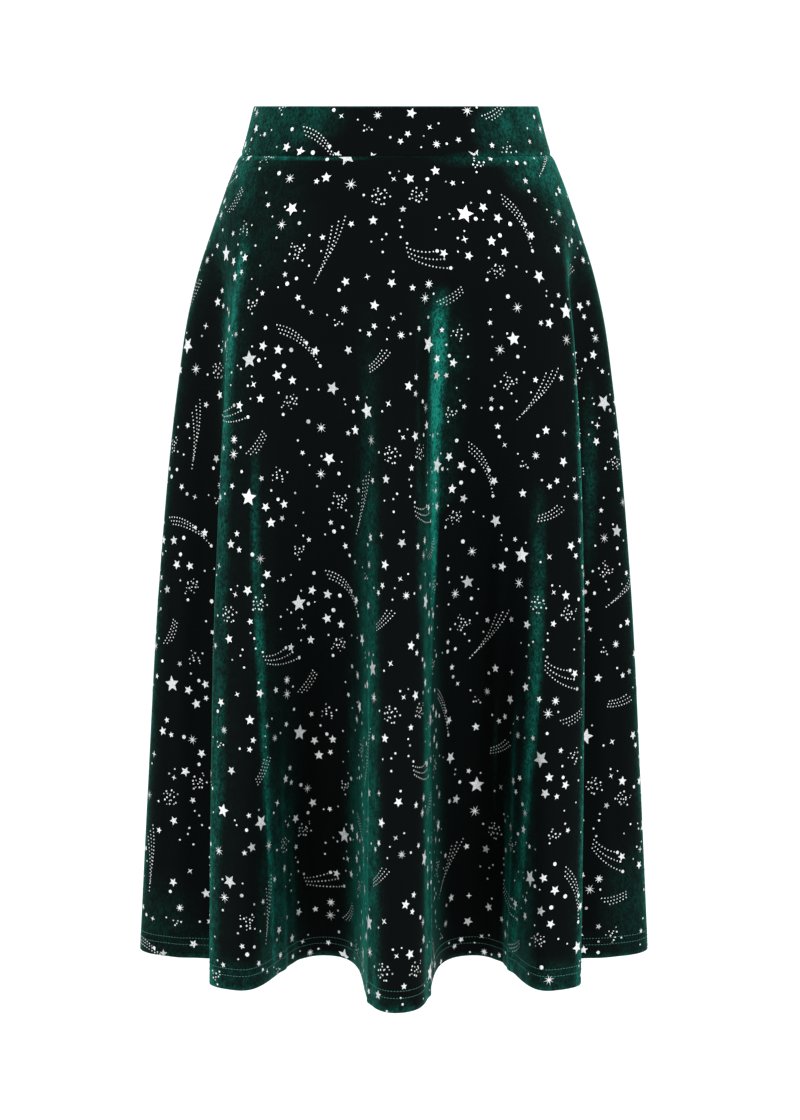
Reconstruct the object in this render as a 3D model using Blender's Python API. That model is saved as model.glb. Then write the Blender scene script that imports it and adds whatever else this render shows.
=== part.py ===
"""A pull-on swing skirt of stretch velvet, in the hollow shape it takes when worn.

Metres, +Z up. The origin is the centre of the waist opening, at the top edge of the
waistband. The front faces -Y, and the wearer's left side is at +X.

The skirt is a flared cut, smooth over the hips and falling in eight folds. Its ring at
each height is a closed chain of cubic Bezier arcs from turn to turn of the folds, ridge,
valley, ridge and so on. The turns leave the smooth outline of a general figure at the
hips and reach their places at the hem.
"""

from collections import namedtuple
from math import cos, radians, sin

import bpy
import numpy as np

# Heights of the edges.
WAIST_TOP = 0.0
WAIST_SEAM = -0.042
HEM = -0.765
HEM_TURN_UP = 0.025

# Walls and seams.
CLOTH = 0.0015
HEM_WALL = 0.0027  # the cloth and its turn-up
BAND_WALL = 0.0025  # the band's two layers over its elastic
SEAM_GAP = 0.0003

# The smooth outline that the figure gives at the hips and the folds' ridges keep below.
# Its front and back are half ellipses of these depths, which meet at the half width.
Section = namedtuple("Section", "height half_width front back")
SECTIONS = [
    Section(WAIST_TOP, 0.1250, 0.093, 0.094),
    Section(WAIST_SEAM, 0.1368, 0.101, 0.104),
    Section(-0.074, 0.1503, 0.107, 0.112),
    Section(-0.109, 0.1631, 0.113, 0.120),
    Section(-0.144, 0.1750, 0.118, 0.126),
    Section(-0.180, 0.1840, 0.122, 0.131),
    Section(-0.250, 0.1950, 0.132, 0.139),
    Section(-0.415, 0.2122, 0.153, 0.158),
    Section(-0.615, 0.2251, 0.178, 0.185),
    Section(HEM, 0.2338, 0.199, 0.205),
]

# The turns of the folds, from the centre front round by the wearer's left side. A turn
# leaves the outline at its bearing, in degrees from the centre front, and its start
# height, and comes to (x, y) at the hem. A pace under 1 brings it there early. At the hem
# the ring heads in the given direction, in degrees from +X, and keeps to it for about the
# lengths before and after.
Turn = namedtuple("Turn", "name bearing start pace x y heading before after")
TURNS = [
    Turn("front ridge", 3, -0.11, 0.80, 0.001, -0.199, 0, 0.050, 0.051),
    Turn("front left valley", 21, -0.11, 0.62, 0.070, -0.027, 2, 0.061, 0.040),
    Turn("front left ridge", 66, -0.09, 0.80, 0.137, -0.135, 18, 0.036, 0.071),
    Turn("left side front valley", 79, -0.08, 0.60, 0.133, -0.049, 50, 0.021, 0.026),
    Turn("left side ridge", 90, -0.08, 0.80, 0.2318, 0.002, 90, 0.046, 0.044),
    Turn("left side back valley", 105, -0.08, 0.70, 0.128, 0.052, 130, 0.026, 0.021),
    Turn("back left ridge", 126, -0.10, 0.80, 0.134, 0.149, 158, 0.058, 0.042),
    Turn("back left valley", 154, -0.13, 0.90, 0.065, 0.054, 178, 0.037, 0.047),
    Turn("back ridge", 180, -0.14, 0.90, -0.003, 0.205, 181, 0.046, 0.042),
    Turn("back right valley", 204, -0.13, 0.90, -0.069, 0.050, 182, 0.047, 0.037),
    Turn("back right ridge", 233, -0.10, 0.80, -0.137, 0.144, 203, 0.042, 0.058),
    Turn("right side back valley", 254, -0.08, 0.70, -0.130, 0.054, 230, 0.021, 0.026),
    Turn("right side ridge", 270, -0.08, 0.80, -0.2360, 0.002, 270, 0.044, 0.046),
    Turn("right side front valley", 283, -0.08, 0.60, -0.135, -0.049, 310, 0.026, 0.021),
    Turn("front right ridge", 304, -0.09, 0.80, -0.140, -0.134, 340, 0.069, 0.036),
    Turn("front right valley", 340, -0.13, 0.85, -0.066, -0.027, 359, 0.040, 0.059),
]
TURN_NAMES = [turn.name for turn in TURNS]
GATHER = 0.08  # the height over which a turn gathers way below its start

# Mesh steps.
ARC_STEPS = 8  # from turn to turn of a skirt ring
BAND_STEPS = 4
SKIRT_ROWS = 13
ROW_SPREAD = 1.25  # above 1, the rows lie closer together over the hips
BAND_ROWS = 4
HEM_STEP = 0.001  # the height of the ledge at the top of the turn-up

VELVET_GREEN = (0.008, 0.045, 0.036, 1.0)
SHARP_ANGLE = radians(60)


def smooth_value(x, xs, ys):
    """The value at x of a smooth curve through the points (xs, ys), with xs rising."""
    slopes = np.gradient(ys, xs)
    k = int(np.clip(np.searchsorted(xs, x) - 1, 0, len(xs) - 2))
    step = xs[k + 1] - xs[k]
    rise = ys[k + 1] - ys[k]
    near, far = slopes[k] * step, slopes[k + 1] * step
    t = (x - xs[k]) / step
    return ys[k] + t * (near + t * (3 * rise - 2 * near - far + t * (near + far - 2 * rise)))


def smooth_step(x):
    x = np.clip(x, 0, 1)
    return x * x * (3 - 2 * x)


def outline_at(height):
    """The outline's half width and its front and back depths at a height."""
    rising = SECTIONS[::-1]
    heights = [section.height for section in rising]
    columns = ([getattr(section, size) for section in rising] for size in Section._fields[1:])
    return [smooth_value(height, heights, column) for column in columns]


def outline_point(outline, bearing):
    half_width, front, back = outline
    across, ahead = sin(radians(bearing)), cos(radians(bearing))
    depth = front if ahead > 0 else back
    return np.array([across, -ahead]) / np.hypot(across / half_width, ahead / depth)


def third_of_outline(outline, bearing, other_bearing):
    """A Bezier handle that follows the outline from one bearing towards the other."""
    rate = outline_point(outline, bearing + 0.5) - outline_point(outline, bearing - 0.5)
    return rate * ((other_bearing - bearing + 180) % 360 - 180) / 3


def turn_at(number, height):
    """A turn's point at a height, and the Bezier handles before and after it."""
    turn = TURNS[number]
    last, following = TURNS[number - 1], TURNS[(number + 1) % len(TURNS)]
    outline, hem_outline = outline_at(height), outline_at(HEM)
    smooth = [
        outline_point(outline, turn.bearing),
        third_of_outline(outline, turn.bearing, last.bearing),
        third_of_outline(outline, turn.bearing, following.bearing),
    ]
    depth = 1 if turn.y < 0 else 2
    scale = np.array([outline[0] / hem_outline[0], outline[depth] / hem_outline[depth]])
    heading = np.array([cos(radians(turn.heading)), sin(radians(turn.heading))])
    folded = [
        scale * [turn.x, turn.y],
        scale * heading * -turn.before,
        scale * heading * turn.after,
    ]
    below = max(turn.start - height, 0)
    way = (below / (turn.start - HEM)) ** turn.pace * smooth_step(below / GATHER)
    point, before, after = ((1 - way) * a + way * b for a, b in zip(smooth, folded))
    return point, point + before, point + after


def ring(height, steps):
    """The closed outer ring at a height, in points with `steps` of them from turn to turn."""
    turns = [turn_at(number, height) for number in range(len(TURNS))]
    t = np.linspace(0, 1, steps, endpoint=False)[:, None]
    arcs = [
        (1 - t) ** 3 * start + 3 * (1 - t) ** 2 * t * leave + 3 * (1 - t) * t**2 * arrive + t**3 * end
        for (start, _, leave), (end, arrive, _) in zip(turns, turns[1:] + turns[:1])
    ]
    points = np.concatenate(arcs)
    return np.column_stack([points, np.full(len(points), height)])


def wall_points(heights, walls, steps):
    """The outer and inner points of a closed tube of cloth, as grids of rows and columns."""
    outer = np.array([ring(height, steps) for height in heights])
    along = np.roll(outer, -1, axis=1) - np.roll(outer, 1, axis=1)
    inward = np.cross(along, np.gradient(outer, axis=0))
    inward[:, :, 2] = 0
    inward /= np.linalg.norm(inward, axis=2, keepdims=True)
    return outer, outer + inward * np.array(walls)[:, None, None]


def from_seam_to_seam(grid, first_seam, steps):
    """Half the columns of a tube, from one side ridge to the other, short of each seam by
    half its gap."""
    columns = grid.shape[1]
    first = TURN_NAMES.index(first_seam) * steps
    piece = grid[:, np.arange(first, first + columns // 2 + 1) % columns].copy()
    for edge, beside in ((0, 1), (-1, -2)):
        into_piece = piece[:, beside] - piece[:, edge]
        into_piece /= np.linalg.norm(into_piece, axis=1, keepdims=True)
        piece[:, edge] += into_piece * SEAM_GAP / 2
    return piece


def add_wall(name, outer, inner, material):
    """A closed wall between two grids of points."""
    rows, columns = outer.shape[:2]
    outside = np.arange(rows * columns).reshape(rows, columns)
    inside = outside + rows * columns

    def squares(a, b):
        """The faces between two lines of points."""
        return np.column_stack([a[:-1], b[:-1], b[1:], a[1:]]).tolist()

    faces = []
    for row in range(rows - 1):
        faces += squares(outside[row], outside[row + 1])
        faces += squares(inside[row + 1], inside[row])
    faces += squares(inside[0], outside[0]) + squares(outside[-1], inside[-1])
    faces += squares(outside[:, 0], inside[:, 0]) + squares(inside[:, -1], outside[:, -1])
    mesh = bpy.data.meshes.new(name)
    mesh.from_pydata(np.concatenate([outer, inner]).reshape(-1, 3).tolist(), [], faces)
    mesh.shade_smooth()
    mesh.set_sharp_from_angle(angle=SHARP_ANGLE)
    mesh.materials.append(material)
    piece = bpy.data.objects.new(name, mesh)
    bpy.context.scene.collection.objects.link(piece)


def add_front_and_back(kind, heights, walls, steps, material):
    outer, inner = wall_points(heights, walls, steps)
    for side, first_seam in (("front", "right side ridge"), ("back", "left side ridge")):
        halves = (from_seam_to_seam(grid, first_seam, steps) for grid in (outer, inner))
        add_wall(f"{kind}_{side}", *halves, material)


def add_waistband(material):
    heights = np.linspace(WAIST_TOP, WAIST_SEAM, BAND_ROWS)
    walls = [BAND_WALL] * BAND_ROWS
    add_front_and_back("waistband", heights, walls, BAND_STEPS, material)


def add_skirt(material):
    top, turn_up_top = WAIST_SEAM - SEAM_GAP, HEM + HEM_TURN_UP
    fractions = np.linspace(0, 1, SKIRT_ROWS) ** ROW_SPREAD
    heights = [*(top + (turn_up_top - top) * fractions), turn_up_top - HEM_STEP, HEM]
    walls = [CLOTH] * SKIRT_ROWS + [HEM_WALL, HEM_WALL]
    add_front_and_back("skirt", heights, walls, ARC_STEPS, material)


def velvet():
    material = bpy.data.materials.new("velvet")
    material.use_nodes = True
    shader = material.node_tree.nodes["Principled BSDF"]
    shader.inputs["Base Color"].default_value = VELVET_GREEN
    shader.inputs["Roughness"].default_value = 0.8
    shader.inputs["Metallic"].default_value = 0.0
    return material


def main():
    for leftover in list(bpy.data.objects):
        bpy.data.objects.remove(leftover, do_unlink=True)
    material = velvet()
    add_waistband(material)
    add_skirt(material)


main()
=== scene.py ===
"""The looks of a pull-on swing skirt of stretch velvet with a foil print of stars.

Metres, +Z up. The origin is the centre of the waist opening, at the top edge of the
waistband. The front faces -Y, and the wearer's left side is at +X.

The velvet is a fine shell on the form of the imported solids. The print is charted flat, on
the cut cloth, and each of its points is then laid on the shell.
"""

from collections import namedtuple
from math import asin, cos, pi, radians, sin, tau

import bpy
import numpy as np
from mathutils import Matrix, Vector


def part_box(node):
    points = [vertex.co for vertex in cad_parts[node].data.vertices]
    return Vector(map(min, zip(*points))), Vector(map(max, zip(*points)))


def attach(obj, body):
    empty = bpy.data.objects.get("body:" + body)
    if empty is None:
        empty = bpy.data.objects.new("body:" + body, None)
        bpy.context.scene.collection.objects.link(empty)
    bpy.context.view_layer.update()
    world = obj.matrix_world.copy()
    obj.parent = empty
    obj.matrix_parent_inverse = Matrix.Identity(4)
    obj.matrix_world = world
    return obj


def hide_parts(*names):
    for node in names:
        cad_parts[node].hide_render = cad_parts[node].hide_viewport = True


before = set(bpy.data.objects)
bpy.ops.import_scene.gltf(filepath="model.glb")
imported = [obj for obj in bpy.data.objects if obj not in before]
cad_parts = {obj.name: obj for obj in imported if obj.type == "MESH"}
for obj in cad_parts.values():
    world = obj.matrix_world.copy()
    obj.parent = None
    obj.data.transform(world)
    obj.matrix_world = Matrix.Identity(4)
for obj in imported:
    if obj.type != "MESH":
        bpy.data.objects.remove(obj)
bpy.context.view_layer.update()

# ---------------------------------------------------------------- sizes

WAIST_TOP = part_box("waistband_front")[1].z
WAIST_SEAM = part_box("waistband_front")[0].z
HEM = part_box("skirt_front")[0].z
HEM_TURN_UP = 0.025
SEAM_GAP = 0.0003

CLOTH = 0.0015
HEM_WALL = 0.0027  # the cloth and its turn-up
BAND_WALL = 0.0025  # the band's two layers over its elastic

# ---------------------------------------------------------------- the form of the cloth

# The smooth outline that the figure gives at the hips and the folds' ridges keep below.
# Its front and back are half ellipses of these depths, which meet at the half width.
Section = namedtuple("Section", "height half_width front back")
SECTIONS = [
    Section(WAIST_TOP, 0.1250, 0.093, 0.094),
    Section(WAIST_SEAM, 0.1368, 0.101, 0.104),
    Section(-0.074, 0.1503, 0.107, 0.112),
    Section(-0.109, 0.1631, 0.113, 0.120),
    Section(-0.144, 0.1750, 0.118, 0.126),
    Section(-0.180, 0.1840, 0.122, 0.131),
    Section(-0.250, 0.1950, 0.132, 0.139),
    Section(-0.415, 0.2122, 0.153, 0.158),
    Section(-0.615, 0.2251, 0.178, 0.185),
    Section(HEM, 0.2338, 0.199, 0.205),
]

# The turns of the folds, from the centre front round by the wearer's left side. A turn
# leaves the outline at its bearing, in degrees from the centre front, and its start
# height, and comes to (x, y) at the hem. A pace under 1 brings it there early. At the hem
# the ring heads in the given direction, in degrees from +X, and keeps to it for about the
# lengths before and after.
Turn = namedtuple("Turn", "name bearing start pace x y heading before after")
TURNS = [
    Turn("front ridge", 3, -0.11, 0.80, 0.001, -0.199, 0, 0.050, 0.051),
    Turn("front left valley", 21, -0.11, 0.62, 0.070, -0.027, 2, 0.061, 0.040),
    Turn("front left ridge", 66, -0.09, 0.80, 0.137, -0.135, 18, 0.036, 0.071),
    Turn("left side front valley", 79, -0.08, 0.60, 0.133, -0.049, 50, 0.021, 0.026),
    Turn("left side ridge", 90, -0.08, 0.80, 0.2318, 0.002, 90, 0.046, 0.044),
    Turn("left side back valley", 105, -0.08, 0.70, 0.128, 0.052, 130, 0.026, 0.021),
    Turn("back left ridge", 126, -0.10, 0.80, 0.134, 0.149, 158, 0.058, 0.042),
    Turn("back left valley", 154, -0.13, 0.90, 0.065, 0.054, 178, 0.037, 0.047),
    Turn("back ridge", 180, -0.14, 0.90, -0.003, 0.205, 181, 0.046, 0.042),
    Turn("back right valley", 204, -0.13, 0.90, -0.069, 0.050, 182, 0.047, 0.037),
    Turn("back right ridge", 233, -0.10, 0.80, -0.137, 0.144, 203, 0.042, 0.058),
    Turn("right side back valley", 254, -0.08, 0.70, -0.130, 0.054, 230, 0.021, 0.026),
    Turn("right side ridge", 270, -0.08, 0.80, -0.2360, 0.002, 270, 0.044, 0.046),
    Turn("right side front valley", 283, -0.08, 0.60, -0.135, -0.049, 310, 0.026, 0.021),
    Turn("front right ridge", 304, -0.09, 0.80, -0.140, -0.134, 340, 0.069, 0.036),
    Turn("front right valley", 340, -0.13, 0.85, -0.066, -0.027, 359, 0.040, 0.059),
]
TURN_NAMES = [turn.name for turn in TURNS]
GATHER = 0.08  # the height over which a turn gathers way below its start
ARC_STEPS = 24  # from turn to turn of a ring, before its columns are spaced evenly


def smooth_value(x, xs, ys):
    """The value at x of a smooth curve through the points (xs, ys), with xs rising."""
    slopes = np.gradient(ys, xs)
    k = int(np.clip(np.searchsorted(xs, x) - 1, 0, len(xs) - 2))
    step = xs[k + 1] - xs[k]
    rise = ys[k + 1] - ys[k]
    near, far = slopes[k] * step, slopes[k + 1] * step
    t = (x - xs[k]) / step
    return ys[k] + t * (near + t * (3 * rise - 2 * near - far + t * (near + far - 2 * rise)))


def smooth_step(x):
    x = np.clip(x, 0, 1)
    return x * x * (3 - 2 * x)


def outline_at(height):
    """The outline's half width and its front and back depths at a height."""
    rising = SECTIONS[::-1]
    heights = [section.height for section in rising]
    columns = ([getattr(section, size) for section in rising] for size in Section._fields[1:])
    return [smooth_value(height, heights, column) for column in columns]


def outline_point(outline, bearing):
    half_width, front, back = outline
    across, ahead = sin(radians(bearing)), cos(radians(bearing))
    depth = front if ahead > 0 else back
    return np.array([across, -ahead]) / np.hypot(across / half_width, ahead / depth)


def third_of_outline(outline, bearing, other_bearing):
    """A Bezier handle that follows the outline from one bearing towards the other."""
    rate = outline_point(outline, bearing + 0.5) - outline_point(outline, bearing - 0.5)
    return rate * ((other_bearing - bearing + 180) % 360 - 180) / 3


def turn_at(number, height, outline, hem_outline):
    """A turn's point at a height, and the Bezier handles before and after it."""
    turn = TURNS[number]
    last, following = TURNS[number - 1], TURNS[(number + 1) % len(TURNS)]
    smooth = [
        outline_point(outline, turn.bearing),
        third_of_outline(outline, turn.bearing, last.bearing),
        third_of_outline(outline, turn.bearing, following.bearing),
    ]
    depth = 1 if turn.y < 0 else 2
    scale = np.array([outline[0] / hem_outline[0], outline[depth] / hem_outline[depth]])
    heading = np.array([cos(radians(turn.heading)), sin(radians(turn.heading))])
    folded = [
        scale * [turn.x, turn.y],
        scale * heading * -turn.before,
        scale * heading * turn.after,
    ]
    below = max(turn.start - height, 0)
    way = (below / (turn.start - HEM)) ** turn.pace * smooth_step(below / GATHER)
    point, before, after = ((1 - way) * a + way * b for a, b in zip(smooth, folded))
    return point, point + before, point + after


def ring(height):
    """The closed outer ring at a height, with ARC_STEPS points from turn to turn."""
    outline, hem_outline = outline_at(height), outline_at(HEM)
    turns = [turn_at(number, height, outline, hem_outline) for number in range(len(TURNS))]
    t = np.linspace(0, 1, ARC_STEPS, endpoint=False)[:, None]
    arcs = [
        (1 - t) ** 3 * start + 3 * (1 - t) ** 2 * t * leave + 3 * (1 - t) * t**2 * arrive + t**3 * end
        for (start, _, leave), (end, arrive, _) in zip(turns, turns[1:] + turns[:1])
    ]
    points = np.concatenate(arcs)
    return np.column_stack([points, np.full(len(points), height)])


def half_ring(height, first_seam, columns):
    """The ring's half from one side seam to the other, at evenly spaced points."""
    whole = ring(height)
    first = TURN_NAMES.index(first_seam) * ARC_STEPS
    half = whole[np.arange(first, first + len(whole) // 2 + 1) % len(whole)]
    lengths = np.concatenate([[0], np.cumsum(np.linalg.norm(np.diff(half, axis=0), axis=1))])
    at = np.linspace(0, lengths[-1], columns)
    return np.column_stack([np.interp(at, lengths, half[:, axis]) for axis in range(3)])


def outward_normals(grid):
    along = np.gradient(grid, axis=1)
    down = np.gradient(grid, axis=0)
    normals = np.cross(down, along)
    return normals / np.linalg.norm(normals, axis=2, keepdims=True)


def lengths_down(grid):
    """The cloth's length from its top edge to each row, as a mean of the columns."""
    steps = np.linalg.norm(np.diff(grid, axis=0), axis=2).mean(axis=1)
    return np.concatenate([[0], np.cumsum(steps)])


# ---------------------------------------------------------------- a panel of cloth

CREASE_TAPER = 0.35  # the share of a crease's length over which an end fades
CREASE_CLEAR = 0.02  # how far from the side seams a crease has its full rise


class Panel:
    """Half of a tube of cloth, from one side seam to the other, as a grid of outer points.
    Its cut is a ring sector that flares down from the top edge: (x, y) in metres on the
    flat cloth runs right from the panel's middle and down from its top edge."""

    def __init__(self, first_seam, heights, columns, relief, creases=()):
        form = np.array([half_ring(height, first_seam, columns) for height in heights])
        self.down = lengths_down(form)
        widths = np.linalg.norm(np.diff(form, axis=1), axis=2).sum(axis=1)
        self.top_width, self.bottom_width, self.length = widths[0], widths[-1], self.down[-1]
        self.flare = (self.bottom_width - self.top_width) / self.length  # the sector's angle
        self.top_radius = self.top_width / self.flare
        self.heights, self.widths = np.array(heights)[:, None], widths[:, None]
        self.across = np.linspace(0, 1, columns)[None, :] * np.ones((len(heights), 1))
        self.seam = np.minimum(self.across, 1 - self.across) * self.widths
        lift = relief(self.down[:, None], self.seam)
        for crease in creases:
            lift = lift + self.crease_lift(crease)
        self.points = form + outward_normals(form) * lift[:, :, None]
        self.normals = outward_normals(self.points)
        self.piece = None  # its mesh, once it is made

    def beside(self, heights, places):
        """How far each point lies to the right of a line down the cloth, which is at these
        places across it at these heights."""
        line = np.interp(-self.heights, -np.array(heights), places)
        return (self.across - line) * self.widths

    def crease_lift(self, crease):
        """How far a crease lifts each point. It fades at its ends, but not at the hem."""
        foot = crease.across + crease.lean
        aside = self.beside((crease.top, crease.bottom), (crease.across, foot))
        down = (crease.top - self.heights) / (crease.top - crease.bottom)
        ends = smooth_step(down / CREASE_TAPER)
        if crease.bottom > HEM:
            ends = ends * smooth_step((1 - down) / CREASE_TAPER)
        sides = smooth_step(1 - np.abs(aside) / crease.wide)
        return crease.rise * ends * sides * smooth_step(self.seam / CREASE_CLEAR)

    def across_and_down(self, x, y):
        """Where a flat point lies on the cloth: across from 0 to 1, and down in metres."""
        radius = np.hypot(x, y + self.top_radius)
        across = np.arctan2(x, y + self.top_radius) / self.flare + 0.5
        return across, radius - self.top_radius

    def lay(self, x, y, lift):
        """Flat points laid on the cloth, lifted off it, and whether each lies on the cut."""
        across, down = self.across_and_down(x, y)
        on_cut = (across >= 0) & (across <= 1) & (down >= 0) & (down <= self.length)
        rows, columns = self.points.shape[:2]
        row = np.interp(down, self.down, np.arange(rows))
        column = np.clip(across, 0, 1) * (columns - 1)
        r = np.clip(row.astype(int), 0, rows - 2)
        c = np.clip(column.astype(int), 0, columns - 2)
        v, u = (row - r)[:, None], (column - c)[:, None]

        def between(grid):
            top = grid[r, c] * (1 - u) + grid[r, c + 1] * u
            bottom = grid[r + 1, c] * (1 - u) + grid[r + 1, c + 1] * u
            return top * (1 - v) + bottom * v

        return between(self.points) + between(self.normals) * np.reshape(lift, (-1, 1)), on_cut

    def cut_area(self):
        """The cloth's area: its widths, summed down its length."""
        widths = self.widths[:, 0]
        return float(np.sum((widths[1:] + widths[:-1]) / 2 * np.diff(self.down)))

    def cut_size(self):
        """The width and length of the rectangle that holds the cut."""
        width = 2 * (self.top_radius + self.length) * sin(self.flare / 2)
        length = self.top_radius + self.length - self.top_radius * cos(self.flare / 2)
        return width, length


# ---------------------------------------------------------------- meshes


def mesh_piece(name, points, faces, material, slot=None):
    """A smooth mesh object. One with a slot is part of the skirt, and rides on its body."""
    mesh = bpy.data.meshes.new(name)
    mesh.from_pydata(np.asarray(points).tolist(), [], np.asarray(faces).tolist())
    mesh.shade_smooth()
    mesh.materials.append(material)
    piece = bpy.data.objects.new(name, mesh)
    bpy.context.scene.collection.objects.link(piece)
    if slot:
        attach(piece, "root")
    return piece


def wall_mesh(name, outer, inner, material, slot):
    """A closed wall between two grids of points."""
    rows, columns = outer.shape[:2]
    outside = np.arange(rows * columns).reshape(rows, columns)
    inside = outside + rows * columns

    def squares(a, b):
        """The faces between two lines of points."""
        return np.column_stack([a[:-1], b[:-1], b[1:], a[1:]])

    faces = [squares(outside[row], outside[row + 1]) for row in range(rows - 1)]
    faces += [squares(inside[row + 1], inside[row]) for row in range(rows - 1)]
    faces += [squares(inside[0], outside[0]), squares(outside[-1], inside[-1])]
    faces += [squares(outside[:, 0], inside[:, 0]), squares(inside[:, -1], outside[:, -1])]
    points = np.concatenate([outer, inner]).reshape(-1, 3)
    return mesh_piece(name, points, np.concatenate(faces), material, slot)


# ---------------------------------------------------------------- materials


class Look:
    """A new material, with short ways to add what its shader reads."""

    def __init__(self, name):
        self.material = bpy.data.materials.new(name)
        self.material.use_nodes = True
        self.nodes, self.links = self.material.node_tree.nodes, self.material.node_tree.links
        self.shader = self.nodes["Principled BSDF"]

    def noise(self, scale, detail, roughness=0.6, stretch=1.0):
        """Noise in the object's own coordinates, with its scale in waves a metre, and its
        waves stretched up and down."""
        place = self.nodes.new("ShaderNodeTexCoord")
        squeeze = self.nodes.new("ShaderNodeVectorMath")
        squeeze.operation = "MULTIPLY"
        squeeze.inputs[1].default_value = (1, 1, 1 / stretch)
        texture = self.nodes.new("ShaderNodeTexNoise")
        self.links.new(place.outputs["Object"], squeeze.inputs[0])
        self.links.new(squeeze.outputs["Vector"], texture.inputs["Vector"])
        texture.inputs["Scale"].default_value = scale
        texture.inputs["Detail"].default_value = detail
        texture.inputs["Roughness"].default_value = roughness
        return texture.outputs["Fac"]

    def spread(self, source, old_range, new_range):
        """The source's old range, spread smoothly over the new one."""
        node = self.nodes.new("ShaderNodeMapRange")
        node.interpolation_type = "SMOOTHSTEP"
        self.links.new(source, node.inputs["Value"])
        sockets = ("From Min", "From Max", "To Min", "To Max")
        for socket, value in zip(sockets, old_range + new_range):
            node.inputs[socket].default_value = value
        return node.outputs["Result"]

    def arithmetic(self, operation, a, b):
        node = self.nodes.new("ShaderNodeMath")
        node.operation = operation
        for socket, value in zip(node.inputs, (a, b)):
            if isinstance(value, (int, float)):
                socket.default_value = value
            else:
                self.links.new(value, socket)
        return node.outputs[0]

    def mixed_color(self, amount, a, b):
        """A colour that goes from a to b as the amount goes from 0 to 1."""
        node = self.nodes.new("ShaderNodeMix")
        node.data_type = "RGBA"
        self.links.new(amount, node.inputs["Factor"])
        for name, value in (("A", a), ("B", b)):
            socket = next(s for s in node.inputs if s.name == name and s.type == "RGBA")
            if isinstance(value, tuple):
                socket.default_value = (*value, 1)
            else:
                self.links.new(value, socket)
        return next(s for s in node.outputs if s.type == "RGBA")

    def attribute(self, name):
        node = self.nodes.new("ShaderNodeAttribute")
        node.attribute_name = name
        return node.outputs["Fac"]

    def color_from(self, source):
        self.links.new(source, self.shader.inputs["Base Color"])

    def bump_from(self, source, strength, distance):
        node = self.nodes.new("ShaderNodeBump")
        node.inputs["Strength"].default_value = strength
        node.inputs["Distance"].default_value = distance
        self.links.new(source, node.inputs["Height"])
        self.links.new(node.outputs["Normal"], self.shader.inputs["Normal"])

    def set_inputs(self, values):
        """Sets what is the same all over on the shader's own sockets."""
        for socket, value in values.items():
            self.shader.inputs[socket].default_value = value


VELVET_DARK = (0.0012, 0.0020, 0.0020)
# the bright green of the painted sheen, which the velvet's base colour turns to
VELVET_PAINTED_SHEEN = (0.006, 0.165, 0.124)
VELVET_SHEEN = (0.02, 0.45, 0.33, 1)
BACKING_GREEN = (0.003, 0.022, 0.018)
FOIL_WORN = (0.06, 0.075, 0.07)
FOIL_SILVER = (0.74, 0.77, 0.77)
THREAD_DARK = (0.006, 0.035, 0.03)
THREAD_GREEN = (0.03, 0.16, 0.125)
THREAD_SHEEN = (0.2, 0.8, 0.65, 1)
RIM_POWER = 3.6  # how late the painted sheen comes as the cloth turns away from the camera
# how much painted sheen the cloth gets where it turns fully away from the camera
RIM_PAINTED_SHEEN = 0.75


def velvet_material():
    """Velvet that is nearly black face on, with painted sheen in its base colour: green where
    the cloth turns away from the camera, plus the painted sheen and shade that its attribute holds."""
    look = Look("velvet")
    # Painted sheen in the base colour: more green as the cloth turns away from the camera, plus the
    # painted sheen and shade of the streaks and patches.
    facing = look.nodes.new("ShaderNodeLayerWeight")
    facing.inputs["Blend"].default_value = 0.5
    rim = look.arithmetic("POWER", facing.outputs["Facing"], RIM_POWER)
    rim = look.arithmetic("MULTIPLY", rim, RIM_PAINTED_SHEEN)
    lit = look.arithmetic("ADD", rim, look.attribute("painted_sheen_and_shade"))
    clouds = look.noise(scale=80, detail=6, roughness=0.75, stretch=1.3)
    clouds = look.spread(clouds, (0.38, 0.62), (0.42, 1.16))
    speckle = look.noise(scale=520, detail=3, roughness=0.8, stretch=1.6)
    speckle = look.spread(speckle, (0.38, 0.62), (0.30, 1.50))
    painted_sheen_amount = look.arithmetic("MULTIPLY", lit, look.arithmetic("MULTIPLY", clouds, speckle))
    pile_and_painted_sheen_color = look.mixed_color(painted_sheen_amount, VELVET_DARK, VELVET_PAINTED_SHEEN)
    look.color_from(look.mixed_color(look.attribute("backing"), pile_and_painted_sheen_color, BACKING_GREEN))
    look.set_inputs({
        "Roughness": 0.8,
        "Specular IOR Level": 0.03,
        "Sheen Weight": 0.2,
        "Sheen Roughness": 0.25,
        "Sheen Tint": VELVET_SHEEN,
    })
    pile = look.noise(scale=1100, detail=3, roughness=0.7)
    look.bump_from(pile, strength=0.5, distance=0.0006)
    return look.material


def foil_material():
    """Silver foil that the pile breaks up, with some shapes of the print duller than others."""
    look = Look("foil")
    shape = look.nodes.new("ShaderNodeNewGeometry").outputs["Random Per Island"]
    dulled = look.spread(shape, (0.0, 0.30), (0.50, 1.0))
    grain = look.noise(scale=900, detail=3, roughness=0.85)
    grain = look.spread(grain, (0.36, 0.60), (0.50, 1.0))
    amount = look.arithmetic("MULTIPLY", dulled, grain)
    look.color_from(look.mixed_color(amount, FOIL_WORN, FOIL_SILVER))
    look.set_inputs({"Metallic": 0.3, "Roughness": 0.45})
    look.bump_from(look.noise(scale=1300, detail=2), strength=0.35, distance=0.0003)
    return look.material


def thread_material():
    look = Look("thread")
    twist = look.spread(look.noise(scale=700, detail=2), (0.3, 0.7), (0.6, 1.0))
    look.color_from(look.mixed_color(twist, THREAD_DARK, THREAD_GREEN))
    look.set_inputs({"Roughness": 0.55, "Sheen Weight": 0.15, "Sheen Tint": THREAD_SHEEN})
    return look.material


velvet = velvet_material()
foil = foil_material()
thread = thread_material()

# ---------------------------------------------------------------- the velvet

SKIRT_ROWS, SKIRT_COLUMNS = 141, 321
BAND_ROWS, BAND_COLUMNS = 22, 221

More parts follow.
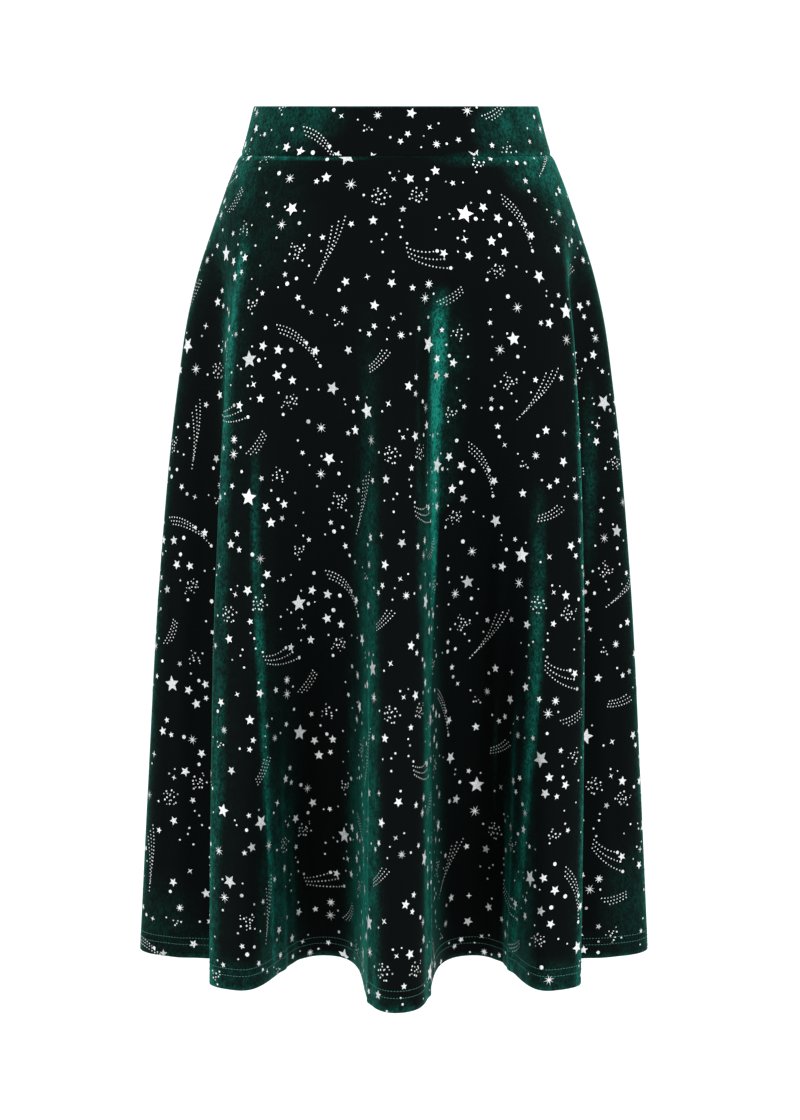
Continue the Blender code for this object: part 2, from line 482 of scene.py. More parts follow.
SEAM_REACH = 0.004  # how far from a seam the cloth dips into it
SEAM_DIP = 0.0009
PUFF = 0.0012  # how far the skirt puffs out below the waist seam
PUFF_FULL = 0.008  # how far down the puff is full
PUFF_END = 0.05  # and how far down it is gone
BAND_ROLL = 0.0006  # how far the band's top edge rolls in
BAND_ROLL_REACH = 0.0012


def edge_rows(top, bottom, rows, at_top, at_bottom):
    """Heights from top to bottom, with extra rows just inside each end."""
    heights = list(np.linspace(top, bottom, rows))
    heights += [top - inside for inside in at_top] + [bottom + inside for inside in at_bottom]
    return np.array(sorted(set(heights), reverse=True))


def seam_dip(distance):
    return -SEAM_DIP * smooth_step(1 - distance / SEAM_REACH) ** 2


def skirt_relief(down, seam):
    """The skirt's puff below the waist seam, and its seams."""
    puff = PUFF * smooth_step(down / PUFF_FULL) * smooth_step(1 - down / PUFF_END)
    return puff + seam_dip(down) + seam_dip(seam)


def band_relief(down, seam):
    """The band's seams, and its rolled top edge."""
    rolled = BAND_ROLL * smooth_step(1 - down / BAND_ROLL_REACH)
    return seam_dip(down[-1:] - down) + seam_dip(seam) - rolled


def join_sides(front, back):
    """Brings the edges of the two panels together along both side seams."""
    for panel, other in ((front, back), (back, front)):
        for grid, beside in ((panel.points, other.points), (panel.normals, other.normals)):
            shared = (grid[:, -1] + beside[:, 0]) / 2
            grid[:, -1] = shared
            beside[:, 0] = shared
        for grid, edge in ((panel.normals, -1), (other.normals, 0)):
            grid[:, edge] /= np.linalg.norm(grid[:, edge], axis=1, keepdims=True)


def add_panel(panel, kind, side, walls):
    """The panel's velvet, in place of its plain solid."""
    inner = panel.points - panel.normals * np.array(walls)[:, None, None]
    name = f"{kind}_{side}"
    panel.piece = wall_mesh(f"{name}_velvet", panel.points, inner, velvet, "velvet")
    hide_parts(name)


# ---------------------------------------------------------------- the motifs of the print

DOT_SIDES = 7
ARC_DOT, ARC_PITCH = 0.00062, 0.0034

COMET_HEADS = (0.0016, 0.0010, 0.0016)  # the dots that its arcs end in
COMET_STAGGER = 0.0025  # how much further forward each arc starts
COMET_APART = 0.0031
COMET_FAN = 4  # degrees from one arc to the next
COMET_STAR = 0.0040
COMET_STAR_AT = 0.94  # how far along the comet its star stands

CLUSTER_PITCH = 0.0035
CLUSTER_REACH = 3  # in rows, and in dots along a row
CLUSTER_ROW = 0.88  # the rows' pitch, in pitches of the dots
CLUSTER_STIR = 0.28  # also in pitches
CLUSTER_EDGE, CLUSTER_EDGE_VARIES = 0.85, 0.3  # shares of its size
CLUSTER_DOT, CLUSTER_DOT_VARIES = 0.0007, 0.0002


class Ink:
    """Flat shapes, in metres, gathered as points and triangles."""

    def __init__(self):
        self.points, self.faces, self.count = [], [], 0

    def add(self, points, faces):
        self.points.append(np.asarray(points, float))
        self.faces.append(np.asarray(faces, int) + self.count)
        self.count += len(points)

    def joined(self):
        return np.concatenate(self.points), np.concatenate(self.faces)


def pointed_disc(radii):
    """The points and triangles of a disc whose rim goes out to each of the radii in turn,
    in two rings, so that it can bend with the cloth."""
    n = len(radii)
    angles = np.arange(n) * tau / n - pi / 2
    rim = np.column_stack([np.cos(angles), np.sin(angles)]) * np.array(radii)[:, None]
    points = np.concatenate([[[0, 0]], rim / 2, rim])
    near, far = np.arange(n) + 1, np.arange(n) + 1 + n
    near_next, far_next = np.roll(near, -1), np.roll(far, -1)
    faces = [np.column_stack([np.zeros(n, int), near, near_next])]
    faces += [np.column_stack([near, far, far_next]), np.column_stack([near, far_next, near_next])]
    return points, np.concatenate(faces)


def dot_disc():
    """A plain dot of radius 1."""
    angles = np.arange(DOT_SIDES) * tau / DOT_SIDES
    rim = np.column_stack([np.cos(angles), np.sin(angles)])
    ends = np.arange(DOT_SIDES) + 1
    faces = np.column_stack([np.zeros(DOT_SIDES, int), ends, np.roll(ends, -1)])
    return np.concatenate([[[0, 0]], rim]), faces


def put(ink, shape, x, y, size, turn=0.0):
    """Draws a shape at (x, y), enlarged to its size and turned clockwise by degrees."""
    points, faces = shape
    c, s = cos(radians(turn)) * size, sin(radians(turn)) * size
    ink.add(np.column_stack([points @ [c, -s] + x, points @ [s, c] + y]), faces)


# Shapes of radius 1: how far out their points and the notches between them are.
FIVE_POINT_STAR = pointed_disc([1, 0.46] * 5)
EIGHT_RAY_BURST = pointed_disc([1, 0.2, 0.86, 0.2] * 4)
SNOWFLAKE = pointed_disc([1, 0.34] * 8)
FOUR_POINT_CROSS = pointed_disc([1, 0.27] * 4)
DOT = dot_disc()


def dotted_arc(ink, start, heading, bend, length, dot, pitch):
    """Dots along an arc from the start, turning by `bend` degrees over the length. Gives the
    point one step past the last dot."""
    steps = max(round(length / pitch), 2)
    x, y = start
    for step in range(steps + 1):
        put(ink, DOT, x, y, dot)
        way = radians(heading + bend * step / steps)
        x, y = x + cos(way) * length / steps, y + sin(way) * length / steps
    return x, y


def beside_line(x, y, turn, forward, aside):
    """The point so far forward along a heading from (x, y), and so far to its right."""
    c, s = cos(radians(turn)), sin(radians(turn))
    return x + c * forward - s * aside, y + s * forward + c * aside


def comet(bend):
    """Three dotted arcs that start side by side and fan out, each longer than the last and
    with a dot for its head, and a star beside their ends."""

    def draw(ink, x, y, size, turn):
        for row, head in enumerate(COMET_HEADS):
            aside = row - 1
            start = beside_line(x, y, turn, row * COMET_STAGGER, aside * COMET_APART)
            heading = turn + aside * COMET_FAN
            length = size * (0.5 + 0.5 * (row + 1) / len(COMET_HEADS))
            end = dotted_arc(ink, start, heading, bend, length, ARC_DOT, ARC_PITCH)
            put(ink, DOT, *end, head)
        star = beside_line(x, y, turn + bend * 0.5, size * COMET_STAR_AT, -COMET_STAR)
        put(ink, FIVE_POINT_STAR, *star, COMET_STAR, turn)

    return draw


# Three dotted rows side by side: their lengths as shares of the motif's, how far each one's
# start is ahead of the last and aside from it, how many degrees it fans out from it, and
# the radius and pitch of the dots.
Rows = namedtuple("Rows", "lengths ahead apart fan dot pitch")
SWOOSH = Rows((0.70, 0.90, 1.00), -0.001, 0.0025, 3, 0.00058, 0.0032)
TAIL = Rows((0.80, 0.95, 1.00), 0.005, 0.005, -3, ARC_DOT, ARC_PITCH)


def three_rows(rows, bend):
    """Three dotted rows that all turn by `bend` degrees over their length."""

    def draw(ink, x, y, size, turn):
        for side, length in zip((-1, 0, 1), rows.lengths):
            start = beside_line(x, y, turn, side * rows.ahead, side * rows.apart)
            heading = turn + side * rows.fan
            dotted_arc(ink, start, heading, bend, size * length, rows.dot, rows.pitch)

    return draw


def cluster(ink, x, y, size, turn):
    """An uneven round patch of dots, in staggered rows that are stirred a little."""
    reach = range(-CLUSTER_REACH, CLUSTER_REACH + 1)
    for row in reach:
        for place in reach:
            stir_forward = CLUSTER_STIR * sin(5 * place + 3 * row + turn)
            stir_aside = CLUSTER_STIR * sin(4 * place - 7 * row + turn)
            forward = (place + row % 2 / 2 + stir_forward) * CLUSTER_PITCH
            aside = (row * CLUSTER_ROW + stir_aside) * CLUSTER_PITCH
            edge = size * (CLUSTER_EDGE + CLUSTER_EDGE_VARIES * sin(2 * place + row + turn))
            if np.hypot(forward, aside) < edge:
                dot = CLUSTER_DOT + CLUSTER_DOT_VARIES * sin(3 * place + 4 * row)
                put(ink, DOT, *beside_line(x, y, turn, forward, aside), dot)


def single(shape):
    return lambda ink, x, y, size, turn: put(ink, shape, x, y, size, turn)


DRAW = {
    "star": single(FIVE_POINT_STAR),
    "burst": single(EIGHT_RAY_BURST),
    "flake": single(SNOWFLAKE),
    "cross": single(FOUR_POINT_CROSS),
    "dot": single(DOT),
    "comet right": comet(40),
    "comet left": comet(-34),
    "swoosh right": three_rows(SWOOSH, 28),
    "swoosh left": three_rows(SWOOSH, -28),
    "tail": three_rows(TAIL, 24),
    "cluster": cluster,
}

# ---------------------------------------------------------------- the print

# The main motifs of one repeat, in millimetres from its top left corner, sizes as radii or
# lengths, turns in degrees clockwise from the right.
REPEAT_WIDTH, REPEAT_HEIGHT = 0.210, 0.220
Motif = namedtuple("Motif", "kind x y size turn")
CHART = [
    Motif("star", 60, 34, 7.9, 8),
    Motif("star", 168, 96, 7.6, -12),
    Motif("star", 34, 150, 7.8, 20),
    Motif("star", 134, 74, 6.0, 31),
    Motif("star", 118, 134, 6.2, 52),
    Motif("comet right", 92, 14, 44, 24),
    Motif("comet left", 8, 70, 36, 24),
    Motif("swoosh left", 176, 60, 28, -26),
    Motif("swoosh right", 62, 100, 25, 128),
    Motif("tail", 160, 152, 50, 104),
    Motif("cluster", 20, 22, 8.6, 0),
    Motif("cluster", 92, 78, 8.2, 40),
    Motif("cluster", 196, 132, 8.4, 80),
    Motif("cluster", 122, 172, 8.8, 20),
    Motif("cluster", 150, 20, 6.2, 60),
    Motif("cluster", 66, 138, 6.6, 10),
    Motif("cluster", 70, 208, 6.4, 33),
    Motif("star", 76, 26, 4.4, 30),
    Motif("star", 150, 112, 4.6, 5),
    Motif("star", 48, 162, 4.2, 48),
]

# What is strewn between them: how many of each kind, their smallest and largest sizes, and
# the least room that each keeps from the rest, in millimetres.
Strewn = namedtuple("Strewn", "kind count smallest largest room")
STREWN = [
    Strewn("burst", 5, 5.0, 5.8, 3.4),
    Strewn("star", 14, 4.0, 4.8, 3.0),
    Strewn("flake", 3, 3.6, 4.4, 3.0),
    Strewn("star", 18, 2.5, 3.2, 2.4),
    Strewn("cross", 6, 2.6, 3.6, 2.4),
    Strewn("dot", 16, 1.4, 2.0, 2.2),
    Strewn("dot", 54, 0.7, 1.1, 2.0),
]
STREWING_SEED = 11
LARGEST_TURN = 90
# Where a repeat's copies lie, in its widths and heights. Those beside it are half a height
# lower or higher.
COPIES = [(0, -1), (0, 0), (0, 1)]
COPIES += [(aside, down) for aside in (-1, 1) for down in (-1.5, -0.5, 0.5, 1.5)]

PRINT_LIFT = 0.00022


def one_repeat():
    """The repeat's shapes as flat points and triangles."""
    ink = Ink()
    for motif in CHART:
        DRAW[motif.kind](ink, motif.x / 1000, motif.y / 1000, motif.size / 1000, motif.turn)
    draws = np.random.default_rng(STREWING_SEED)
    repeat = np.array([REPEAT_WIDTH, REPEAT_HEIGHT])
    copies = np.array(COPIES) * repeat
    drawn, _ = ink.joined()
    taken = (drawn[:, None] + copies).reshape(-1, 2)
    for strewn in STREWN:
        left = strewn.count
        while left:
            place = draws.random(2) * repeat
            size = draws.uniform(strewn.smallest, strewn.largest) / 1000
            if np.hypot(*(taken - place).T).min() > size + strewn.room / 1000:
                before = ink.count
                DRAW[strewn.kind](ink, *place, size, draws.uniform(0, LARGEST_TURN))
                added = ink.joined()[0][before:]
                taken = np.concatenate([taken, (added[:, None] + copies).reshape(-1, 2)])
                left -= 1
    return ink.joined()


def add_print(name, panel, repeat, offset):
    """The repeat, laid side by side over the whole cut. Triangles off the cut are left out."""
    flat, triangles = repeat
    columns = int(panel.bottom_width / 2 / REPEAT_WIDTH) + 2
    rows = int((panel.length + panel.top_radius) / REPEAT_HEIGHT) + 2
    points, faces, count = [], [], 0
    for column in range(-columns, columns):
        for row in range(-2, rows):
            steps = np.array([column * REPEAT_WIDTH, (row + column % 2 / 2) * REPEAT_HEIGHT])
            place = flat + (steps + offset)
            laid, on_cut = panel.lay(place[:, 0], place[:, 1], PRINT_LIFT)
            whole = on_cut[triangles].all(axis=1)
            if whole.any():
                used, index = np.unique(triangles[whole], return_inverse=True)
                points.append(laid[used])
                faces.append(index.reshape(-1, 3) + count)
                count += len(used)
    facing_out = np.concatenate(faces)[:, ::-1]
    return mesh_piece(name, np.concatenate(points), facing_out, foil, "foil")


# ---------------------------------------------------------------- the stitches

STITCH = 0.0018
STITCH_PITCH = 0.0028
THREAD_RADIUS = 0.00026
THREAD_SIDES = 6
THREAD_LIFT = 0.4  # how far the thread's middle lies off the cloth, in its radii
HEM_ROWS = (0.0125, 0.0185)  # the twin needle's two rows, above the hem

# The rings of points of one stitch: their places along it as shares of its length, and
# their radii as shares of the thread's.
STITCH_RINGS = [(-0.5, 0.15), (-0.4, 0.8), (0.0, 1.0), (0.4, 0.8), (0.5, 0.15)]


def add_stitches(name, panel):
    """Rows of small thread capsules round the hem."""
    lengthwise, girth = np.array(STITCH_RINGS).T * [[STITCH], [THREAD_RADIUS]]
    around = np.arange(THREAD_SIDES) * tau / THREAD_SIDES
    points, faces, count = [], [], 0
    for above in HEM_ROWS:
        down = panel.length - above
        radius = down + panel.top_radius
        width = np.interp(down, [0, panel.length], [panel.top_width, panel.bottom_width])
        for number in range(int(width / STITCH_PITCH)):
            angle = ((number + 0.5) * STITCH_PITCH / width - 0.5) * panel.flare
            turns = angle + lengthwise / radius
            r = radius + np.cos(around)[None, :] * girth[:, None]
            x = np.sin(turns)[:, None] * r
            y = np.cos(turns)[:, None] * r - panel.top_radius
            lift = THREAD_RADIUS * THREAD_LIFT + np.sin(around)[None, :] * girth[:, None]
            laid, _ = panel.lay(x.ravel(), y.ravel(), lift.ravel())
            points.append(laid)
            grid = np.arange(len(laid)).reshape(r.shape) + count
            beside = np.roll(grid, -1, axis=1)
            squares = np.stack([grid[:-1], beside[:-1], beside[1:], grid[1:]], axis=2)
            faces.append(squares.reshape(-1, 4))
            count += len(laid)
    return mesh_piece(name, np.concatenate(points), np.concatenate(faces), thread, "thread")


# ---------------------------------------------------------------- creases and nap

# Soft lines pressed into each skirt panel, as ridges that rise or troughs with a negative
# rise: from a top to a bottom height, at a place across the panel from 0 to 1, leaning
# aside on the way down, with a half width and a rise in metres.
Crease = namedtuple("Crease", "top bottom across lean wide rise")
FRONT_CREASES = [
    Crease(-0.046, -0.130, 0.30, -0.010, 0.015, 0.0010),
    Crease(-0.046, -0.095, 0.44, 0.004, 0.011, -0.0007),
    Crease(-0.046, -0.150, 0.67, 0.012, 0.014, 0.0010),
    Crease(-0.300, -0.640, 0.700, -0.012, 0.012, 0.0017),
    Crease(-0.500, HEM, 0.268, 0.004, 0.012, 0.0015),
    Crease(-0.560, HEM, 0.296, 0.004, 0.011, -0.0010),
    Crease(-0.480, HEM, 0.735, -0.006, 0.012, 0.0022),
    Crease(-0.590, HEM, 0.708, 0.000, 0.010, -0.0016),
    Crease(-0.420, HEM, 0.440, 0.022, 0.012, 0.0016),
    Crease(-0.560, HEM, 0.568, -0.010, 0.012, 0.0017),
    Crease(-0.260, HEM, 0.060, -0.010, 0.016, 0.0018),
    Crease(-0.380, HEM, 0.935, 0.010, 0.016, 0.0016),
    Crease(-0.620, HEM, 0.505, 0.004, 0.018, -0.0012),
]
BACK_CREASES = [
    Crease(-0.046, -0.140, 0.34, -0.008, 0.014, 0.0010),
    Crease(-0.046, -0.110, 0.58, 0.006, 0.012, 0.0008),
    Crease(-0.340, -0.690, 0.300, 0.012, 0.012, 0.0016),
    Crease(-0.470, HEM, 0.264, 0.008, 0.012, 0.0020),
    Crease(-0.540, HEM, 0.412, 0.006, 0.011, 0.0017),
    Crease(-0.450, HEM, 0.586, -0.012, 0.012, 0.0018),
    Crease(-0.600, HEM, 0.700, 0.004, 0.011, -0.0015),
    Crease(-0.500, HEM, 0.742, 0.000, 0.012, 0.0021),
    Crease(-0.320, HEM, 0.050, -0.006, 0.015, 0.0017),
    Crease(-0.400, HEM, 0.944, 0.008, 0.016, 0.0018),
]

# Painted streaks down each skirt panel: painted sheen where the folds' flanks and edges catch
# the light, and painted shade where the strength is negative. Half widths to the left and right,
# and points on the way down, as height, place across and strength.
Streak = namedtuple("Streak", "before after way")
SEAM_HIGHLIGHT_HALF_WIDTH = 0.010
# The painted highlights along the wearer's right and left side seams, as heights and strengths.
RIGHT_SEAM_HIGHLIGHT = [
    (-0.060, 0.00), (-0.140, 0.26), (-0.320, 0.15), (-0.500, 0.27), (-0.660, 0.20), (HEM, 0.30),
]
LEFT_SEAM_HIGHLIGHT = [
    (-0.060, 0.00), (-0.120, 0.24), (-0.250, 0.14), (-0.430, 0.24), (-0.560, 0.17), (HEM, 0.30),
]


def seam_highlight(across, strengths):
    way = [(height, across, strength) for height, strength in strengths]
    return Streak(SEAM_HIGHLIGHT_HALF_WIDTH, SEAM_HIGHLIGHT_HALF_WIDTH, way)


FRONT_STREAKS = [
    Streak(0.012, 0.012, [
        (-0.150, 0.584, 0.00), (-0.180, 0.587, 0.60), (-0.220, 0.588, 1.15),
        (-0.300, 0.584, 1.20), (-0.345, 0.585, 1.15), (-0.400, 0.587, 0.75),
        (-0.460, 0.579, 0.30), (-0.540, 0.558, 0.16), (HEM, 0.555, 0.14),
    ]),
    Streak(0.014, 0.010, [
        (-0.180, 0.556, 0.00), (-0.220, 0.553, -0.14), (-0.300, 0.546, -0.20),
        (-0.400, 0.540, 0.00),
    ]),
    Streak(0.044, 0.060, [
        (-0.340, 0.608, 0.00), (-0.420, 0.608, -0.40), (-0.520, 0.606, -0.75),
        (HEM, 0.608, -0.95),
    ]),
    Streak(0.020, 0.013, [(-0.420, 0.530, 0.00), (-0.500, 0.528, -0.16), (HEM, 0.528, -0.20)]),
    Streak(0.014, 0.018, [
        (-0.160, 0.440, 0.00), (-0.250, 0.434, 0.04), (-0.330, 0.431, 0.07),
        (-0.420, 0.441, 0.12), (-0.600, 0.458, 0.16), (HEM, 0.474, 0.18),
    ]),
    Streak(0.022, 0.020, [(-0.400, 0.400, 0.00), (-0.500, 0.395, -0.16), (HEM, 0.385, -0.20)]),
    Streak(0.008, 0.013, [
        (-0.100, 0.168, 0.00), (-0.130, 0.174, 0.40), (-0.200, 0.178, 0.54),
        (-0.270, 0.188, 0.38), (-0.340, 0.196, 0.22), (-0.470, 0.199, 0.14),
        (-0.580, 0.193, 0.26), (-0.660, 0.184, 0.26), (HEM, 0.176, 0.22),
    ]),
    Streak(0.004, 0.008, [
        (-0.280, 0.247, 0.00), (-0.360, 0.247, 0.20), (-0.460, 0.250, 0.36),
        (-0.600, 0.250, 0.38), (HEM, 0.252, 0.32),
    ]),
    Streak(0.010, 0.016, [(-0.560, 0.258, 0.00), (-0.680, 0.262, 0.10), (HEM, 0.266, 0.12)]),
    Streak(0.012, 0.007, [
        (-0.320, 0.754, 0.00), (-0.420, 0.756, 0.24), (-0.520, 0.755, 0.44),
        (-0.640, 0.750, 0.44), (HEM, 0.736, 0.30),
    ]),
    Streak(0.007, 0.005, [(-0.620, 0.738, 0.00), (-0.700, 0.736, 0.10), (HEM, 0.732, 0.12)]),
    Streak(0.005, 0.005, [(-0.480, 0.700, 0.00), (-0.560, 0.696, 0.08), (-0.680, 0.694, 0.00)]),
    Streak(0.007, 0.006, [
        (-0.110, 0.880, 0.00), (-0.150, 0.872, 0.22), (-0.200, 0.852, 0.30),
        (-0.285, 0.828, 0.34), (-0.400, 0.822, 0.36), (-0.460, 0.820, 0.16),
        (-0.560, 0.820, 0.26), (HEM, 0.822, 0.22),
    ]),
    Streak(0.009, 0.010, [(-0.230, 0.935, 0.00), (-0.320, 0.930, 0.14), (-0.420, 0.925, 0.00)]),
    seam_highlight(0.0, RIGHT_SEAM_HIGHLIGHT),
    seam_highlight(1.0, LEFT_SEAM_HIGHLIGHT),
]
BACK_STREAKS = [
    Streak(0.010, 0.008, [
        (-0.140, 0.415, 0.00), (-0.190, 0.412, 0.45), (-0.270, 0.420, 0.66),
        (-0.360, 0.430, 0.44), (-0.470, 0.446, 0.12), (HEM, 0.460, 0.08),
    ]),
    Streak(0.030, 0.026, [(-0.380, 0.404, 0.00), (-0.500, 0.402, -0.24), (HEM, 0.396, -0.34)]),
    Streak(0.018, 0.013, [
        (-0.190, 0.566, 0.00), (-0.300, 0.570, 0.06), (-0.480, 0.560, 0.09), (HEM, 0.540, 0.10),
    ]),
    Streak(0.020, 0.024, [(-0.420, 0.600, 0.00), (-0.540, 0.604, -0.18), (HEM, 0.612, -0.22)]),
    Streak(0.007, 0.009, [
        (-0.110, 0.178, 0.00), (-0.180, 0.190, 0.26), (-0.330, 0.200, 0.12), (HEM, 0.194, 0.20),
    ]),
    Streak(0.005, 0.008, [
        (-0.300, 0.268, 0.00), (-0.400, 0.270, 0.18), (-0.560, 0.264, 0.25), (HEM, 0.258, 0.18),
    ]),
    Streak(0.006, 0.007, [(-0.610, 0.282, 0.00), (-0.700, 0.284, 0.10), (HEM, 0.286, 0.10)]),
    Streak(0.008, 0.005, [
        (-0.260, 0.728, 0.00), (-0.360, 0.732, 0.16), (-0.540, 0.740, 0.24), (HEM, 0.746, 0.20),
    ]),
    Streak(0.006, 0.006, [(-0.560, 0.716, 0.00), (-0.660, 0.718, 0.09), (HEM, 0.722, 0.10)]),
    Streak(0.009, 0.007, [
        (-0.120, 0.812, 0.00), (-0.200, 0.806, 0.28), (-0.380, 0.800, 0.26), (HEM, 0.808, 0.20),
    ]),
    seam_highlight(1.0, RIGHT_SEAM_HIGHLIGHT),
    seam_highlight(0.0, LEFT_SEAM_HIGHLIGHT),
]
GLOW = 0.07  # the faint glow round a streak, as a share of its strength
GLOW_REACH = 3.0  # and how wide it is, in the streak's half widths

# Patches of painted sheen, partly also the mottling of crushed pile: the side and height of
# each one's middle, its half sizes across and down, and its strength.
Patch = namedtuple("Patch", "x z wide high strength")
PATCH_REACH = 1.6  # how far out a patch is gone, in its half sizes
FRONT_PATCHES = [
    Patch(-0.112, -0.014, 0.040, 0.034, 0.16),
    Patch(-0.072, -0.008, 0.024, 0.018, 0.12),
    Patch(0.094, -0.016, 0.022, 0.026, 0.21),
    Patch(0.122, -0.010, 0.018, 0.034, 0.16),
    Patch(0.100, -0.0445, 0.050, 0.005, 0.24),
    Patch(0.122, -0.056, 0.022, 0.014, 0.28),
    Patch(0.142, -0.074, 0.014, 0.020, 0.22),
    Patch(-0.134, -0.056, 0.014, 0.030, 0.14),
    Patch(-0.120, -0.095, 0.040, 0.050, 0.035),
    Patch(-0.090, -0.0440, 0.050, 0.0016, 0.42),
    Patch(0.000, 0.000, 0.200, 0.0012, 0.16),
    Patch(-0.214, -0.735, 0.030, 0.036, 0.055),
    Patch(0.216, -0.725, 0.026, 0.055, 0.065),
    Patch(-0.150, -0.755, 0.034, 0.014, 0.10),
    Patch(0.140, -0.755, 0.036, 0.014, 0.09),
    Patch(0.000, -0.762, 0.030, 0.010, 0.08),
    Patch(0.000, HEM, 0.300, 0.0022, 0.24),
]
BACK_PATCHES = [
    Patch(0.108, -0.012, 0.034, 0.032, 0.24),
    Patch(-0.100, -0.018, 0.030, 0.030, 0.26),
    Patch(-0.064, -0.010, 0.022, 0.018, 0.10),
    Patch(0.130, -0.060, 0.018, 0.022, 0.22),
    Patch(-0.140, -0.066, 0.016, 0.028, 0.18),
    Patch(0.092, -0.0445, 0.050, 0.004, 0.24),
    Patch(-0.096, -0.0440, 0.040, 0.0014, 0.30),
    Patch(0.000, 0.000, 0.200, 0.0012, 0.16),
    Patch(0.212, -0.730, 0.030, 0.045, 0.08),
    Patch(-0.214, -0.735, 0.028, 0.040, 0.075),
    Patch(0.145, -0.755, 0.036, 0.014, 0.09),
    Patch(-0.140, -0.755, 0.034, 0.014, 0.10),
    Patch(0.000, HEM, 0.300, 0.0022, 0.24),
]


def paint_sheen_and_shade(panel, streaks, patches):
    """Writes the painted sheen (above zero) and painted shade (below zero) at each point, and which
    side is the knitted backing.
    """
    amount = np.zeros(panel.across.shape)
    for streak in streaks:
        heights, places, strengths = np.array(streak.way).T
        aside = panel.beside(heights, places)
        reach = np.where(aside < 0, streak.before, streak.after)
        strength = np.interp(-panel.heights, -heights, strengths)
        amount += strength * smooth_step(1 - np.abs(aside) / reach)
        amount += GLOW * strength * smooth_step(1 - np.abs(aside) / reach / GLOW_REACH)
    for patch in patches:
        off_x = (panel.points[:, :, 0] - patch.x) / patch.wide
        off_z = (panel.points[:, :, 2] - patch.z) / patch.high
        amount += patch.strength * smooth_step(1 - np.hypot(off_x, off_z) / PATCH_REACH)
    nothing = np.zeros(amount.size)
    values = {"painted_sheen_and_shade": [amount.ravel(), nothing], "backing": [nothing, nothing + 1]}
    for name, outer_and_inner in values.items():
        attribute = panel.piece.data.attributes.new(name, "FLOAT", "POINT")
        attribute.data.foreach_set("value", np.concatenate(outer_and_inner).astype(np.float32))


# ---------------------------------------------------------------- the skirt


def declare_sheet(panel, **said):
    """Works out the size that a panel was cut to and its area, but keeps and states neither."""
    width, length = panel.cut_size()
    round(panel.cut_area(), 4)


skirt_heights = edge_rows(
    WAIST_SEAM - SEAM_GAP,
    HEM,
    SKIRT_ROWS,
    at_top=(0.0008, 0.0018, 0.003, 0.0042),
    at_bottom=(0.0004, 0.0012),
)
skirt_walls = [HEM_WALL if height < HEM + HEM_TURN_UP else CLOTH for height in skirt_heights]
band_heights = edge_rows(
    WAIST_TOP, WAIST_SEAM, BAND_ROWS, at_top=(0.0004, 0.0008), at_bottom=(0.0006, 0.0012)
)
band_walls = [BAND_WALL] * len(band_heights)

# Each side's first seam, where its print's repeat starts on skirt and band, its creases, and
# its painted sheen and shade.
Side = namedtuple("Side", "name first_seam skirt_print band_print creases streaks patches")
SIDES = [
    Side(
        "front", "right side ridge", (0.0, 0.012), (0.035, 0.110),
        FRONT_CREASES, FRONT_STREAKS, FRONT_PATCHES,
    ),
    Side(
        "back", "left side ridge", (0.070, 0.090), (0.120, 0.030),
        BACK_CREASES, BACK_STREAKS, BACK_PATCHES,
    ),
]
bands = [Panel(side.first_seam, band_heights, BAND_COLUMNS, band_relief) for side in SIDES]
skirts = [
    Panel(side.first_seam, skirt_heights, SKIRT_COLUMNS, skirt_relief, side.creases)
    for side in SIDES
]
join_sides(*bands)
join_sides(*skirts)
star_repeat = one_repeat()
for side, band, skirt in zip(SIDES, bands, skirts):
    add_panel(band, "waistband", side.name, band_walls)
    add_panel(skirt, "skirt", side.name, skirt_walls)
    # painted sheen and shade on the velvet, from the streaks and patches
    paint_sheen_and_shade(band, [], side.patches)
    paint_sheen_and_shade(skirt, side.streaks, side.patches)
    band_print = add_print(f"waistband_{side.name}_print", band, star_repeat, side.band_print)
    skirt_print = add_print(f"skirt_{side.name}_print", skirt, star_repeat, side.skirt_print)
    stitches = add_stitches(f"skirt_{side.name}_hem_stitches", skirt)
    declare_sheet(band, held="stretched", with_pieces=[band_print])
    declare_sheet(skirt, held="hung", rests_on=[band.piece], with_pieces=[skirt_print, stitches])


# ---------------------------------------------------------------- stage, lights and camera

PHOTO_HEIGHT = 1120
WAIST_PIXELS, WAIST_WIDTH = 284, 0.25
WAIST_ROW = 106
CAMERA_DISTANCE = 2.6
CAMERA_ASIDE = 0.0035
SENSOR = 36

FLOOR = -1.05
FLOOR_REACH = 30
PAPER_DULL = (0.90, 0.90, 0.90)
PAPER_WHITE = (0.97, 0.97, 0.97)
SKIRT_MIDDLE = (0, 0, HEM / 2)
WORLD_STRENGTH = 1.15


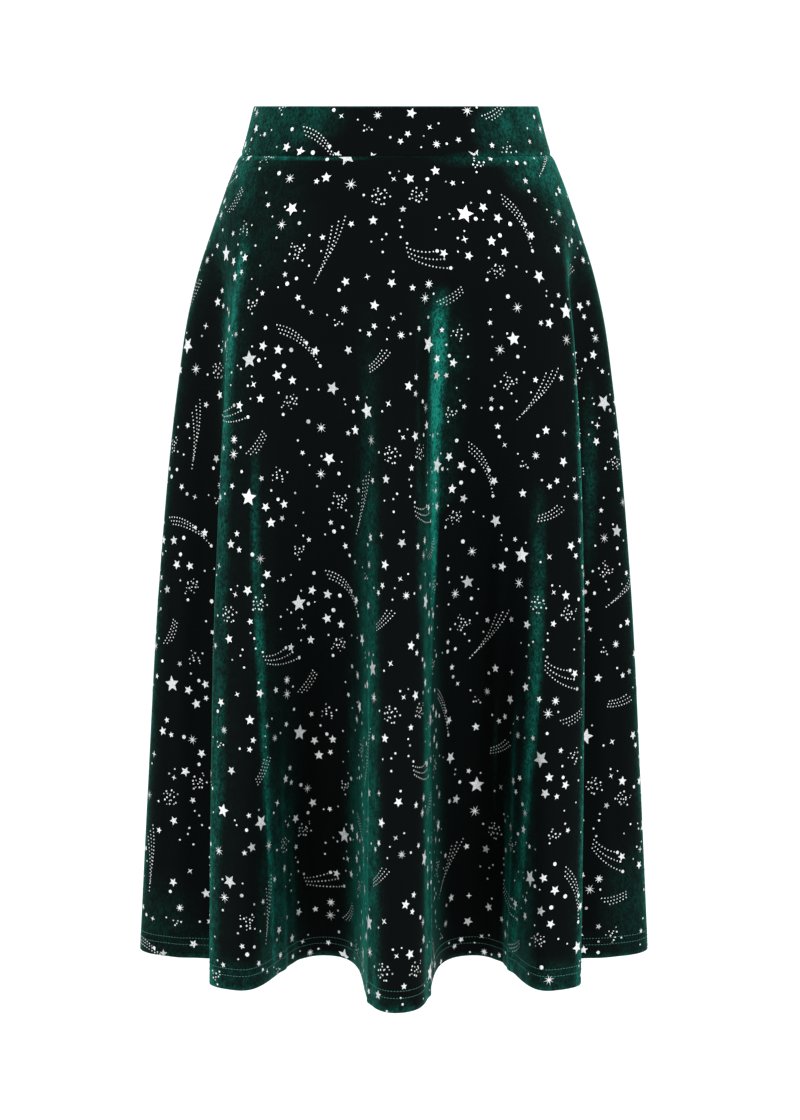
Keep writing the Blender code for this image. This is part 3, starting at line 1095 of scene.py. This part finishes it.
def add_camera():
    """The camera stands level with the waist's top edge. Its tilt and focal length bring that
    edge to its row and width in the photo."""
    level_focal = CAMERA_DISTANCE * WAIST_PIXELS / WAIST_WIDTH
    tilt = asin((PHOTO_HEIGHT / 2 - WAIST_ROW) / level_focal)
    data = bpy.data.cameras.new("camera")
    data.sensor_width = SENSOR
    data.lens = level_focal * cos(tilt) / PHOTO_HEIGHT * SENSOR
    camera = bpy.data.objects.new("camera", data)
    camera.location = (CAMERA_ASIDE, -CAMERA_DISTANCE, 0)
    camera.rotation_euler = (pi / 2 - tilt, 0, 0)
    bpy.context.scene.collection.objects.link(camera)
    bpy.context.scene.camera = camera


def add_stage():
    """A wide floor of white paper below the skirt."""
    look = Look("studio paper")
    tone = look.spread(look.noise(scale=3, detail=2), (0.3, 0.7), (0.985, 1.0))
    look.color_from(look.mixed_color(tone, PAPER_DULL, PAPER_WHITE))
    look.set_inputs({"Roughness": 0.9})
    corners = [(-1, -1), (1, -1), (1, 1), (-1, 1)]
    points = [(x * FLOOR_REACH, y * FLOOR_REACH, FLOOR) for x, y in corners]
    mesh_piece("floor", points, [[0, 1, 2, 3]], look.material)


def add_light(name, place, size, power):
    """A round area light that faces the skirt's middle."""
    light = bpy.data.lights.new(name, "AREA")
    light.shape = "DISK"
    light.size = size
    light.energy = power
    lamp = bpy.data.objects.new(name, light)
    lamp.location = place
    lamp.rotation_mode = "QUATERNION"
    lamp.rotation_quaternion = (Vector(place) - Vector(SKIRT_MIDDLE)).to_track_quat("Z", "Y")
    bpy.context.scene.collection.objects.link(lamp)


def add_world():
    world = bpy.data.worlds.new("studio")
    world.use_nodes = True
    background = world.node_tree.nodes["Background"]
    background.inputs["Color"].default_value = (1, 1, 1, 1)
    background.inputs["Strength"].default_value = WORLD_STRENGTH
    bpy.context.scene.world = world


add_camera()
add_stage()
add_world()
add_light("key", (1.6, -1.8, 1.2), size=1.0, power=40)
add_light("fill", (-1.8, -1.4, 0.6), size=1.2, power=20)
bpy.context.scene.view_settings.view_transform = "Standard"
